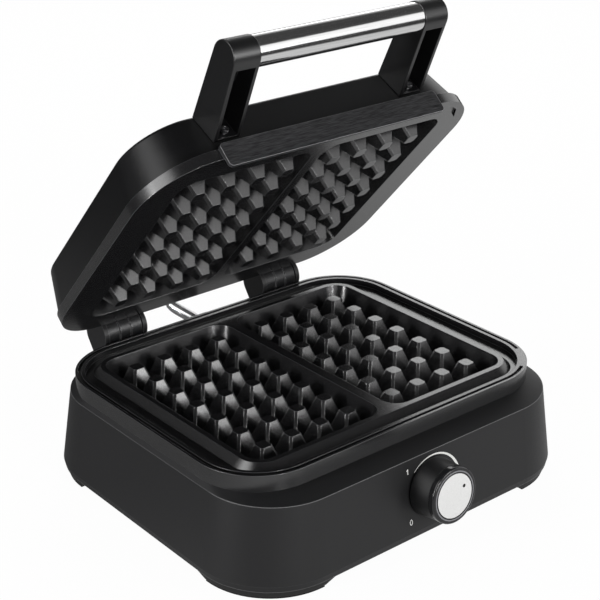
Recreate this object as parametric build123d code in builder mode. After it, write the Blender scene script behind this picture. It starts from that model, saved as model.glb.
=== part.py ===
from build123d import *

import os
from math import atan2, cos, radians, sin, tan

# A belgian waffle maker for two waffles, in millimetres, at its real size.
# X runs to the right, Y to the back and Z up from the surface that it stands on.
# The lid pieces are drawn closed, on planes that are tilted to the lid's resting place.

os.makedirs("parts", exist_ok=True)

# Baking bed: rows of tapered studs, alike in both plates
stud_pitch = 24.0
stud_columns = 4
stud_rows = 7
stud_height = 16.0
stud_top = 9.0
stud_foot = 20.5
stud_corner = 1.6
mould_spread = 40.5
mould_margin = 20.25
mould_front_margin = 19.5
mould_rear_margin = 17.5
mould_half_width = mould_spread / 2 + (stud_columns - 1) * stud_pitch + mould_margin
mould_front = (stud_rows - 1) * stud_pitch / 2 + mould_front_margin
mould_rear = (stud_rows - 1) * stud_pitch / 2 + mould_rear_margin
mould_corner = 13.0
mould_draft = 12.0
divider_half_width = 4.0
stud_top_z = 77.0
tip_gap = 3.0
bed_y = -6.2

# Plates
rim_side = 27.0
rim_end = 22.0
rim_half_width = mould_half_width + rim_side
rim_front = mould_front + rim_end
rim_rear = mould_rear + rim_end
rim_corner = 47.0
rim_rise = 2.0
lower_skirt = 11.5
upper_skirt = 7.5
plate_wall = 3.0
plate_web = 3.0
lip_width = 1.8
groove_width = 2.4
groove_depth = 2.2
inner_lip = 2.6
channel_depth = 4.5
edge_width = 4.0
edge_slope = 5.0
filler_start = 22.0
filler_end = 59.0
recess_corners = [(105.5, -107.7), (119.8, -98.0), (126.1, -85.8), (114.4, -97.4)]
recess_depth = 1.8
lug_x = rim_half_width - 8.0
lug_y = 45.0
lug_radius = 4.0
lug_hole_depth = 6.0

# Housing of the base
floor_clearance = 6.0
tuck_height = 4.5
tuck = 1.0
housing_wall = 3.0
shoulder_z = 64.2
shoulder_half_width = rim_half_width + 1.9
shoulder_corner = 51.0
shoulder_front = rim_front + 17.0
shoulder_rear = rim_rear + 7.8
housing_half_width = shoulder_half_width + 7.5
housing_front = shoulder_front + 5.5
housing_rear = shoulder_rear + 6.7
housing_corner = 56.0
seam_inset = 0.9
ledge_width = 12.0
post_edge = 14.9
post_y = 54.0
post_radius = 4.5
post_lap = 1.5
post_hole_depth = 14.0

# Feet and bottom cover
cover_thickness = 2.5
foot_sole = 1.5
foot_inset = 0.5
foot_depth = 14.0
foot_reach_x = housing_half_width - 65.9
foot_front_y = housing_front - 65.0
foot_rear_y = housing_rear - 66.0
pad_inset = 1.8
foot_draw = 8.0
foot_taper = 1.3
vent_length = 38.0
vent_width = 4.0
vent_pitch = 12.0
vent_count = 7

# Heating elements, one under each plate
element_diameter = 6.5
element_half_width = mould_half_width - 34.5
element_half_depth = 52.0
element_gap = 12.0
element_bend = 20.0
pin_diameter = 3.0
pin_length = 8.0
boss_radius = 5.0
boss_y = 34.0
reflector_sheet = 1.0
reflector_half_width = mould_half_width - 16.5
reflector_half_depth = 72.0
reflector_lip = 4.0

fuse_base = 18.0
fuse_width = 10.0
fuse_radius = 2.4
fuse_half = 13.0

# Knob and thermostat
knob_z = 39.2
knob_reach = 22.1
knob_length = 20.6
knob_radius = 19.3
knob_rear_radius = 20.5
knob_collar = 4.8
knob_collar_step = 0.3
knob_round = 1.4
knob_shell = 2.0
knob_web = 3.0
cap_radius = 17.2
cap_thickness = 1.4
bezel_width = 1.0
cap_groove = 0.8
cap_dot = 1.1
hub_radius = 6.5
shaft_diameter = 6.0
shaft_length = 34.0
pad_depth = 5.0
gland_z = 28.0
gland_neck = 6.5
gland_flange = 9.5
gland_bore = 3.5
gland_rim = 3.0
gland_nut = 4.0
pad_half = 17.0
pad_lap = 1.0
thermostat_radius = 13.0
thermostat_depth = 15.0
thermostat_neck = 9.0
neck_length = 8.0
tab_thickness = 0.8
tab_width = 6.3
tab_length = 8.0

terminal_width = 30.0
terminal_depth = 14.0
terminal_height = 11.0
terminal_pitch = 9.0
terminal_hole = 2.0

# Hinges
hinge_y = rim_rear + 14.5
hinge_z = 82.0
hinge_x = 73.2
barrel_length = 28.6
barrel_radius = 12.0
barrel_groove = 1.0
ear_thickness = 3.5
ear_radius = 13.0
ear_gap = 0.5
hinge_pin_diameter = 5.0
pin_seat = 2.5
bracket_top_z = 63.5
bracket_ear_z = 56.0
bracket_low_z = 44.0
bracket_plate = 3.5
bracket_shift = 0.5
bracket_screw_z = 52.0
bracket_screw_x = 7.0
arm_low_z = 89.9
arm_top_z = 112.0
arm_thickness = 5.0
arm_lap = 1.0
arm_screw_z = 104.0
rest_opening = 47.7

# Lid
lid_half_width = rim_half_width - 1.0
lid_front = rim_front - 3.0
lid_rear = rim_rear - 1.0
lid_slope = 8.5
lid_top_z = 121.0
lid_corner = 46.0
lid_top_corner = 38.0
lid_wall = 3.0
lid_edge_round = 3.0
panel_half_width = lid_half_width - 16.5
panel_half_depth = lid_rear - 17.5
panel_corner = 30.0
panel_thickness = 1.8
panel_step = 5.0
strip_half_width = mould_half_width - 21.5
strip_thickness = 3.1
strip_clearance = 0.7
strip_drop = 7.0
strip_round = 3.0
strip_height = 16.6

# Handle
handle_x = 78.2
bracket_width = 20.5
tube_y = lid_front + 48.2
tube_z = 125.5
tube_radius = 10.1
tube_wall = 0.8
cap_round = 10.7
arm_root_z = 96.5
arm_tip_z = 120.5
bracket_side = 2.6
bracket_back = 3.4
bracket_round = 0.6
spigot_radius = 6.5
spigot_length = 12.0
handle_screw_zs = (101.0, 113.0)

# Conduit that carries the lid's wires
conduit_radius = 4.5
conduit_bends = [60.0, 12.0, 12.0]
conduit_socket_z = 66.0
conduit_socket_y = shoulder_rear + 1.2
conduit_lid_z = 105.0
conduit_rear_y = hinge_y + 46.0
conduit_rise = 5.5
conduit_stub = 36.0
conduit_boss_half = 9.0
conduit_boss_low_z = 56.0
conduit_boss_top_z = 70.5
conduit_boss_rear = shoulder_rear + 7.7
collar_radius = 7.5
collar_depth = 5.0

# Screws and running clearances
screw_shank = 3.0
screw_head = 5.4
screw_head_height = 2.0
screw_drive = 1.3
screw_relief = 1.0
fit = 0.05
seat = 0.3

# Frames: the base stands level, and the lid is turned up about the hinge pins
bed = Plane((0, bed_y, 0))
hinge_frame = Plane((0, bed_y + hinge_y, hinge_z)).rotated((-rest_opening, 0, 0))
lid = Plane(hinge_frame.from_local_coords((0, -hinge_y, -hinge_z)), x_dir=(1, 0, 0),
            z_dir=hinge_frame.z_dir)


def across(frame, x):
    """Upright plane of one frame, with Y along it and Z up it."""
    return Plane(frame.from_local_coords((x, 0, 0)), x_dir=frame.y_dir, z_dir=frame.x_dir)


def footprint(half_width, front, rear, corner, mode=Mode.ADD):
    """Rounded outline between a front and a rear edge, in the sketch that is open."""
    with Locations((0, (rear - front) / 2)):
        RectangleRounded(2 * half_width, front + rear, corner, mode=mode)


def rim(inset, mode=Mode.ADD):
    """Outline of a plate, moved in from its edge."""
    footprint(rim_half_width - inset, rim_front - inset, rim_rear - inset, rim_corner - inset, mode)


def mould(outset, mode=Mode.ADD):
    """Outline round both cavities, moved out from their inside edge."""
    footprint(mould_half_width + outset, mould_front + outset, mould_rear + outset,
              mould_corner + outset, mode)


def rear_wall(z):
    """Y of the housing's rear wall at a height, from the middle of the bed."""
    slope = (housing_rear - shoulder_rear) / (shoulder_z - bottom_z - tuck_height)
    return shoulder_rear + (shoulder_z - z) * slope


def rear_face(x, z):
    """Plane on the housing's rear wall, facing out of it."""
    lean = atan2(rear_wall(0) - rear_wall(1), 1)
    return Plane((x, bed_y + rear_wall(z), z), x_dir=(1, 0, 0), z_dir=(0, cos(lean), sin(lean)))


def front_wall(z):
    """How far out the housing's front wall is at a height, from the middle of the bed."""
    slope = (housing_front - shoulder_front) / (shoulder_z - bottom_z - tuck_height)
    return shoulder_front + (shoulder_z - z) * slope


def front_face(x, z):
    """Plane on the housing's front wall, facing out of it."""
    lean = atan2(front_wall(0) - front_wall(1), 1)
    return Plane((x, bed_y - front_wall(z), z), x_dir=(1, 0, 0), z_dir=(0, -cos(lean), sin(lean)))


def lid_inset(z):
    """How far the lid's sloping sides have come in at a height of the closed lid."""
    return lid_slope * (z - upper_seam_z) / (lid_top_z - upper_seam_z)


def lid_face(x, z, end):
    """Plane on the lid's front (-1) or rear (1) wall, facing out of it."""
    reach = lid_front if end < 0 else lid_rear
    lean = lid_lean
    origin = lid.from_local_coords((x, end * (reach - lid_inset(z)), z))
    outward = lid.y_dir * (end * cos(lean)) + lid.z_dir * sin(lean)
    return Plane(origin, x_dir=(1, 0, 0), z_dir=outward)


def foot_outline(side, end, inset, draw):
    """One corner of the foot skirt, with its ends drawn in, in the sketch that is open."""
    edge = tuck + foot_inset + inset
    inner = edge + foot_depth - 2 * inset
    footprint(housing_half_width - edge, housing_front - edge, housing_rear - edge,
              housing_corner - edge)
    footprint(housing_half_width - inner, housing_front - inner, housing_rear - inner,
              housing_corner - inner, Mode.SUBTRACT)
    near_x = foot_reach_x + draw
    near_y = (foot_front_y if end < 0 else foot_rear_y) + draw
    width = housing_half_width - near_x
    depth = housing_front - near_y
    with Locations((side * (near_x + width / 2), end * (near_y + depth / 2))):
        Rectangle(width, depth, mode=Mode.INTERSECT)


def screw(length):
    """Pan head screw with its head under the origin and its shank up."""
    with BuildPart() as made:
        Cylinder(screw_head / 2, screw_head_height, align=(Align.CENTER, Align.CENTER, Align.MAX))
        Cylinder(screw_shank / 2, length, align=(Align.CENTER, Align.CENTER, Align.MIN))
        with BuildSketch(Plane.XY.offset(-screw_head_height)):
            RegularPolygon(screw_drive, 6)
        extrude(amount=screw_drive, mode=Mode.SUBTRACT)
    return made.part


# Heights that follow from the sizes above
cavity_floor_z = stud_top_z - stud_height
lower_web_z = cavity_floor_z - plate_web
rim_z = stud_top_z + rim_rise
plate_foot_z = rim_z - lower_skirt
channel_z = rim_z - channel_depth
upper_tip_z = stud_top_z + tip_gap
land_z = upper_tip_z + rim_rise
upper_floor_z = upper_tip_z + stud_height
upper_web_z = upper_floor_z + plate_web
upper_seam_z = land_z + upper_skirt
boss_height = element_diameter + 2 * fit
bottom_z = floor_clearance
cover_top_z = bottom_z + cover_thickness
lips = lip_width + groove_width + inner_lip
flange_z = upper_seam_z + lid_wall
lid_lean = atan2(lid_slope, lid_top_z - upper_seam_z)

pad_back = housing_wall + pad_depth
knob_wall = front_face(0, knob_z)
knob_face = knob_wall.offset(knob_reach)
shaft_rear = -pad_back - thermostat_depth * 2 / 3
shaft_front = shaft_rear + shaft_length

stud_places = [
    (side * (mould_spread / 2 + stud_pitch * column), stud_pitch * (row - (stud_rows - 1) / 2))
    for side in (-1, 1)
    for column in range(stud_columns)
    for row in range(stud_rows)
]
lug_places = [(side * lug_x, end * lug_y) for side in (-1, 1) for end in (-1, 1)]
post_places = [(side * (housing_half_width - post_edge), end * post_y)
               for side in (-1, 1) for end in (-1, 1)]
boss_places = [(0, end * boss_y) for end in (-1, 1)]
hinge_screw_xs = [side * hinge_x + offset for side in (-1, 1)
                  for offset in (-bracket_screw_x, bracket_screw_x)]

# One stud, cast as a tapered block whose upright edges are chamfered
with BuildPart() as stud:
    for height, width in ((0, stud_foot), (stud_height, stud_top)):
        with BuildSketch(Plane.XY.offset(height)) as level:
            Rectangle(width, width)
            chamfer(level.vertices(), stud_corner)
    loft(ruled=True)

# Lower plate: die-cast, with a rim of two lips, an overflow channel and two stud beds
with BuildPart(bed) as lower_plate:
    with BuildSketch(bed.offset(plate_foot_z)):
        rim(0)
    extrude(amount=lower_skirt)
    with BuildSketch(bed.offset(channel_z)):
        rim(lips)
    extrude(amount=channel_depth, mode=Mode.SUBTRACT)
    with BuildSketch(bed.offset(plate_foot_z)):
        rim(plate_wall)
    extrude(amount=channel_z - plate_web - plate_foot_z, mode=Mode.SUBTRACT)
    for height in (lower_web_z, channel_z):
        with BuildSketch(bed.offset(height)):
            mould(plate_wall - (rim_z - height) * tan(radians(mould_draft)))
    loft(ruled=True)
    for height, outset in ((channel_z, edge_width + edge_slope), (rim_z, edge_width)):
        with BuildSketch(bed.offset(height)):
            mould(outset)
    loft(ruled=True)
    for side in (-1, 1):
        for height in (cavity_floor_z, rim_z):
            draft = (rim_z - height) * tan(radians(mould_draft))
            inner = divider_half_width + draft
            outer = mould_half_width - draft
            with BuildSketch(bed.offset(height)):
                with Locations((side * (inner + outer) / 2, (mould_rear - mould_front) / 2)):
                    RectangleRounded(outer - inner, mould_front + mould_rear - 2 * draft,
                                     mould_corner - draft / 2)
        loft(ruled=True, mode=Mode.SUBTRACT)
    with Locations(*[(x, y, cavity_floor_z) for x, y in stud_places]):
        add(stud.part)
    # Groove between the lips, stopped by a filler block at the front right corner
    with BuildSketch(bed.offset(rim_z)):
        rim(lip_width)
        rim(lip_width + groove_width, mode=Mode.SUBTRACT)
        with BuildLine():
            middle = (rim_half_width - rim_corner, rim_corner - rim_front)
            starts = [(middle[0] + 2 * rim_corner * cos(radians(-turn)),
                       middle[1] + 2 * rim_corner * sin(radians(-turn)))
                      for turn in (filler_start, filler_end)]
            Polyline(middle, *starts, close=True)
        make_face(mode=Mode.SUBTRACT)
    extrude(amount=-groove_depth, mode=Mode.SUBTRACT)
    # Screw lugs under the channel and bosses under the divider
    with Locations(*[(x, y, plate_foot_z) for x, y in lug_places]):
        Cylinder(lug_radius, channel_z - plate_web - plate_foot_z,
                 align=(Align.CENTER, Align.CENTER, Align.MIN))
        Cylinder(screw_shank / 2 + fit, lug_hole_depth,
                 align=(Align.CENTER, Align.CENTER, Align.MIN), mode=Mode.SUBTRACT)
    with Locations(*[(x, y, lower_web_z) for x, y in boss_places]):
        Cylinder(boss_radius, boss_height, align=(Align.CENTER, Align.CENTER, Align.MAX))
        Cylinder(screw_shank / 2 + fit, boss_height,
                 align=(Align.CENTER, Align.CENTER, Align.MAX), mode=Mode.SUBTRACT)
lower_plate.part.label = "lower_plate"
export_step(lower_plate.part, "parts/lower_plate.step")

# Upper plate: the same bed upside down, with a flat land in place of lips and channel
with BuildPart(lid) as upper_plate:
    with BuildSketch(lid.offset(land_z)):
        rim(0)
    extrude(amount=upper_skirt)
    with BuildSketch(lid.offset(land_z + plate_web)):
        rim(plate_wall)
    extrude(amount=upper_skirt - plate_web, mode=Mode.SUBTRACT)
    for height in (land_z + plate_web / 2, upper_web_z):
        with BuildSketch(lid.offset(height)):
            mould(plate_wall - (height - land_z) * tan(radians(mould_draft)))
    loft(ruled=True)
    for side in (-1, 1):
        for height in (land_z, upper_floor_z):
            draft = (height - land_z) * tan(radians(mould_draft))
            inner = divider_half_width + draft
            outer = mould_half_width - draft
            with BuildSketch(lid.offset(height)):
                with Locations((side * (inner + outer) / 2, (mould_rear - mould_front) / 2)):
                    RectangleRounded(outer - inner, mould_front + mould_rear - 2 * draft,
                                     mould_corner - draft / 2)
        loft(ruled=True, mode=Mode.SUBTRACT)
    with Locations(*[Location((x, y, upper_floor_z), (180, 0, 0)) for x, y in stud_places]):
        add(stud.part)
    with Locations(*[(x, y, upper_seam_z) for x, y in lug_places]):
        Cylinder(lug_radius, upper_skirt - plate_web, align=(Align.CENTER, Align.CENTER, Align.MAX))
        Cylinder(screw_shank / 2 + fit, lug_hole_depth,
                 align=(Align.CENTER, Align.CENTER, Align.MAX), mode=Mode.SUBTRACT)
    with Locations(*[(x, y, upper_web_z) for x, y in boss_places]):
        Cylinder(boss_radius, boss_height, align=(Align.CENTER, Align.CENTER, Align.MIN))
        Cylinder(screw_shank / 2 + fit, boss_height,
                 align=(Align.CENTER, Align.CENTER, Align.MIN), mode=Mode.SUBTRACT)
    # Recess in the land over the lower rim's filler block
    with BuildSketch(lid.offset(land_z)):
        Polygon(*recess_corners, align=None)
    extrude(amount=recess_depth, mode=Mode.SUBTRACT)
upper_plate.part.label = "upper_plate"
export_step(upper_plate.part, "parts/upper_plate.step")

# Housing of the base: one moulded shell, flared to the bottom and tucked in under it
housing_sections = [
    (bottom_z, housing_half_width - tuck, housing_front - tuck, housing_rear - tuck,
     housing_corner - tuck),
    (bottom_z + tuck_height, housing_half_width, housing_front, housing_rear, housing_corner),
    (shoulder_z, shoulder_half_width, shoulder_front, shoulder_rear, shoulder_corner),
    (plate_foot_z, rim_half_width - seam_inset, rim_front - seam_inset, rim_rear - seam_inset,
     rim_corner - seam_inset),
]
with BuildPart(bed) as base_housing:
    for height, half_width, front, rear, corner in housing_sections:
        with BuildSketch(bed.offset(height)):
            footprint(half_width, front, rear, corner)
    loft(ruled=True)
    for number, (height, half_width, front, rear, corner) in enumerate(housing_sections):
        lowered = housing_wall if number > 1 else 0
        with BuildSketch(bed.offset(height - lowered)):
            footprint(half_width - housing_wall, front - housing_wall, rear - housing_wall,
                      corner - housing_wall)
    loft(ruled=True, mode=Mode.SUBTRACT)
    # Opening that the plate drops into
    with BuildSketch(bed.offset(plate_foot_z)):
        rim(seam_inset + ledge_width)
    extrude(amount=-2 * housing_wall, mode=Mode.SUBTRACT)
    # Holes for the plate screws in the ledge
    with Locations(*[(x, y, plate_foot_z) for x, y in lug_places]):
        Cylinder(screw_shank / 2 + fit, 2 * housing_wall,
                 align=(Align.CENTER, Align.CENTER, Align.MAX), mode=Mode.SUBTRACT)
    # Posts for the bottom cover
    with Locations(*[(x, y, cover_top_z) for x, y in post_places]):
        Cylinder(post_radius, shoulder_z - housing_wall - cover_top_z + post_lap,
                 align=(Align.CENTER, Align.CENTER, Align.MIN))
        Cylinder(screw_shank / 2 + fit, post_hole_depth, align=(Align.CENTER, Align.CENTER, Align.MIN),
                 mode=Mode.SUBTRACT)
    # Pad behind the front wall that carries the thermostat
    with BuildSketch(knob_wall.offset(-pad_back)):
        Rectangle(2 * pad_half, 2 * pad_half)
    extrude(amount=pad_depth + pad_lap)
    with BuildSketch(knob_wall.offset(-pad_back)):
        Circle(thermostat_neck / 2 + fit)
    extrude(amount=2 * pad_back, mode=Mode.SUBTRACT)
    # Hole for the cord gland and holes for the hinge screws in the rear wall
    with Locations(Location((0, housing_rear, gland_z), (90, 0, 0))):
        Cylinder(gland_neck + fit, 6 * housing_wall, mode=Mode.SUBTRACT)
    for x in hinge_screw_xs:
        with BuildSketch(rear_face(x, bracket_screw_z)):
            Circle(screw_shank / 2 + fit)
        extrude(amount=-2 * housing_wall, mode=Mode.SUBTRACT)
base_housing.part.label = "base_housing"
export_step(base_housing.part, "parts/base_housing.step")

# Bottom cover: a flat plate with vents, screwed to the posts
with BuildPart(bed) as bottom_cover:
    edge = tuck + housing_wall + seat
    with BuildSketch(bed.offset(bottom_z)):
        footprint(housing_half_width - edge, housing_front - edge, housing_rear - edge,
                  housing_corner - edge)
        with Locations(*post_places):
            Circle(screw_shank / 2 + seat, mode=Mode.SUBTRACT)
        with Locations((-hinge_x, 0), (hinge_x, 0)):
            with GridLocations(vent_pitch, 0, vent_count, 1):
                SlotOverall(vent_length, vent_width, rotation=90, mode=Mode.SUBTRACT)
    extrude(amount=cover_thickness)
bottom_cover.part.label = "bottom_cover"
export_step(bottom_cover.part, "parts/bottom_cover.step")

# Feet: a moulded skirt under each corner, with a rubber pad let in under it
for side, hand in ((-1, "left"), (1, "right")):
    for end, place in ((-1, "front"), (1, "rear")):
        with BuildPart(bed) as foot:
            for height, inset, draw in ((foot_sole, foot_taper, foot_draw), (bottom_z, 0, 0)):
                with BuildSketch(bed.offset(height)):
                    foot_outline(side, end, inset, draw)
            loft(ruled=True)
        foot.part.label = f"foot_{place}_{hand}"
        export_step(foot.part, f"parts/foot_{place}_{hand}.step")

with BuildPart(bed) as foot_pads:
    for side in (-1, 1):
        for end in (-1, 1):
            with BuildSketch(bed):
                foot_outline(side, end, pad_inset, foot_draw + pad_inset - foot_taper)
            extrude(amount=foot_sole)
foot_pads.part.label = "foot_pads"
export_step(foot_pads.part, "parts/foot_pads.step")

with BuildPart(bed) as bottom_screws:
    with Locations(*[(x, y, bottom_z) for x, y in post_places]):
        add(screw(cover_thickness + post_hole_depth - 4 * screw_relief))
bottom_screws.part.label = "bottom_screws"
export_step(bottom_screws.part, "parts/bottom_screws.step")

# Heating elements and their reflector trays, the same for both plates
element_places = [(-element_gap, element_half_depth), (-element_half_width, element_half_depth),
                  (-element_half_width, -element_half_depth),
                  (element_half_width, -element_half_depth),
                  (element_half_width, element_half_depth), (element_gap, element_half_depth)]
for name, frame, web_z, away in (("lower", bed, lower_web_z, -1), ("upper", lid, upper_web_z, 1)):
    run_z = web_z + away * (fit + element_diameter / 2)
    with BuildPart(frame) as element:
        with BuildLine(frame.offset(run_z)) as run:
            FilletPolyline(*element_places, radius=element_bend)
        with BuildSketch(Plane(run.line @ 0, z_dir=run.line % 0)):
            Circle(element_diameter / 2)
        sweep()
        for side in (-1, 1):
            with BuildSketch(across(frame, side * element_gap)):
                with Locations((element_half_depth, run_z)):
                    Circle(pin_diameter / 2)
            extrude(amount=-side * pin_length)
    element.part.label = f"{name}_heating_element"
    export_step(element.part, f"parts/{name}_heating_element.step")

    sheet_z = web_z + away * boss_height
    with BuildPart(frame) as reflector:
        with BuildSketch(frame.offset(sheet_z)):
            RectangleRounded(2 * reflector_half_width, 2 * reflector_half_depth, element_bend)
            with Locations(*boss_places):
                Circle(screw_shank / 2 + seat, mode=Mode.SUBTRACT)
        extrude(amount=away * reflector_sheet)
        with BuildSketch(frame.offset(sheet_z)):
            RectangleRounded(2 * reflector_half_width, 2 * reflector_half_depth, element_bend)
            RectangleRounded(2 * (reflector_half_width - reflector_sheet),
                             2 * (reflector_half_depth - reflector_sheet),
                             element_bend - reflector_sheet, mode=Mode.SUBTRACT)
        extrude(amount=-away * reflector_lip)
    reflector.part.label = f"{name}_reflector"
    export_step(reflector.part, f"parts/{name}_reflector.step")

    turn = 0 if away < 0 else 180
    with BuildPart(frame) as reflector_screws:
        with Locations(*[Location((x, y, sheet_z + away * reflector_sheet), (turn, 0, 0))
                         for x, y in boss_places]):
            add(screw(reflector_sheet + boss_height - screw_relief))
    reflector_screws.part.label = f"{name}_reflector_screws"
    export_step(reflector_screws.part, f"parts/{name}_reflector_screws.step")

    seat_z = plate_foot_z - housing_wall if away < 0 else flange_z
    with BuildPart(frame) as plate_screws:
        with Locations(*[Location((x, y, seat_z), (turn, 0, 0)) for x, y in lug_places]):
            add(screw(housing_wall + lug_hole_depth - screw_relief))
    plate_screws.part.label = f"{name}_plate_screws"
    export_step(plate_screws.part, f"parts/{name}_plate_screws.step")

# Knob, its steel cap and the thermostat shaft, which turn together, square to the front wall
with BuildPart(knob_face) as knob:
    for depth, radius in ((knob_length, knob_rear_radius), (knob_collar, knob_radius)):
        with BuildSketch(knob_face.offset(-depth)):
            Circle(radius)
    loft(ruled=True)
    with BuildSketch(knob_face.offset(-knob_collar)):
        Circle(knob_radius + knob_collar_step)
    extrude(amount=knob_collar)
    fillet(knob.edges().group_by(Axis((0, 0, 0), knob_face.z_dir))[-1], knob_round)
    with BuildSketch(knob_face):
        Circle(cap_radius + fit)
    extrude(amount=-cap_thickness, mode=Mode.SUBTRACT)
    with BuildSketch(knob_face.offset(-knob_length)):
        Circle(knob_radius - knob_shell)
        Circle(hub_radius, mode=Mode.SUBTRACT)
    extrude(amount=knob_length - cap_thickness - knob_web, mode=Mode.SUBTRACT)
    with BuildSketch(knob_face.offset(-knob_length)):
        Circle(shaft_diameter / 2 + fit)
    extrude(amount=shaft_front - (knob_reach - knob_length) + fit, mode=Mode.SUBTRACT)
knob.part.label = "knob"
export_step(knob.part, "parts/knob.step")

with BuildPart(knob_face) as knob_cap:
    with BuildSketch(knob_face):
        Circle(cap_radius)
    extrude(amount=-cap_thickness)
    with BuildSketch(knob_face):
        Circle(cap_radius - bezel_width)
        Circle(cap_radius - bezel_width - cap_groove, mode=Mode.SUBTRACT)
        with Locations((cap_radius / 2, cap_radius / 4)):
            Circle(cap_dot)
    extrude(amount=-cap_thickness / 3, mode=Mode.SUBTRACT)
knob_cap.part.label = "knob_cap"
export_step(knob_cap.part, "parts/knob_cap.step")

with BuildPart() as thermostat_shaft:
    with BuildSketch(knob_wall.offset(shaft_rear)):
        Circle(shaft_diameter / 2)
    extrude(amount=shaft_length)
thermostat_shaft.part.label = "thermostat_shaft"
export_step(thermostat_shaft.part, "parts/thermostat_shaft.step")

with BuildPart() as thermostat:
    with BuildSketch(knob_wall.offset(-pad_back)):
        Circle(thermostat_radius)
    extrude(amount=-thermostat_depth)
    with BuildSketch(knob_wall.offset(-pad_back)):
        Circle(thermostat_neck / 2)
    extrude(amount=neck_length)
    with BuildSketch(knob_wall.offset(shaft_rear - fit)):
        Circle(shaft_diameter / 2 + fit)
    extrude(amount=3 * thermostat_depth, mode=Mode.SUBTRACT)
    for side in (-1, 1):
        with BuildSketch(knob_wall.offset(-pad_back - thermostat_depth)):
            with Locations((side * thermostat_radius / 2, 0)):
                Rectangle(tab_thickness, tab_width)
        extrude(amount=-tab_length)
thermostat.part.label = "thermostat"
export_step(thermostat.part, "parts/thermostat.step")

# Terminal block on the cover and gland for the cord in the rear wall
with BuildPart(bed) as terminal_block:
    with BuildSketch(bed.offset(cover_top_z)):
        with Locations((0, lug_y)):
            Rectangle(terminal_width, terminal_depth)
    extrude(amount=terminal_height)
    with BuildSketch(bed.offset(cover_top_z + terminal_height)):
        with Locations((0, lug_y)):
            with GridLocations(terminal_pitch, 0, 3, 1):
                Circle(terminal_hole)
    extrude(amount=-terminal_height / 2, mode=Mode.SUBTRACT)
terminal_block.part.label = "terminal_block"
export_step(terminal_block.part, "parts/terminal_block.step")

gland_seat = rear_wall(gland_z - gland_flange)
gland_back = rear_wall(gland_z + gland_flange) - 1.2 * housing_wall
with BuildPart() as cord_gland:
    gland_plane = Plane((0, bed_y + gland_seat, gland_z), x_dir=(1, 0, 0), z_dir=(0, 1, 0))
    with BuildSketch(gland_plane):
        Circle(gland_flange)
    extrude(amount=gland_rim)
    with BuildSketch(gland_plane):
        Circle(gland_neck)
    extrude(amount=gland_back - gland_seat)
    with BuildSketch(gland_plane.offset(gland_back - gland_seat)):
        RegularPolygon(gland_flange, 6)
    extrude(amount=-gland_nut)
    with BuildSketch(gland_plane.offset(gland_rim)):
        Circle(gland_bore)
    extrude(amount=-8 * housing_wall, mode=Mode.SUBTRACT)
cord_gland.part.label = "cord_gland"
export_step(cord_gland.part, "parts/cord_gland.step")

# Hinges: a bracket with two ears on the base, a pin, and the lid's barrel and arm
ear_half = barrel_length / 2 + ear_gap
with BuildPart() as hinge_screws:
    for x in hinge_screw_xs:
        head_seat = rear_face(x, bracket_screw_z).offset(bracket_plate)
        with Locations(head_seat.rotated((180, 0, 0))):
            add(screw(bracket_plate + 2 * housing_wall))
hinge_screws.part.label = "hinge_screws"
export_step(hinge_screws.part, "parts/hinge_screws.step")

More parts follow.
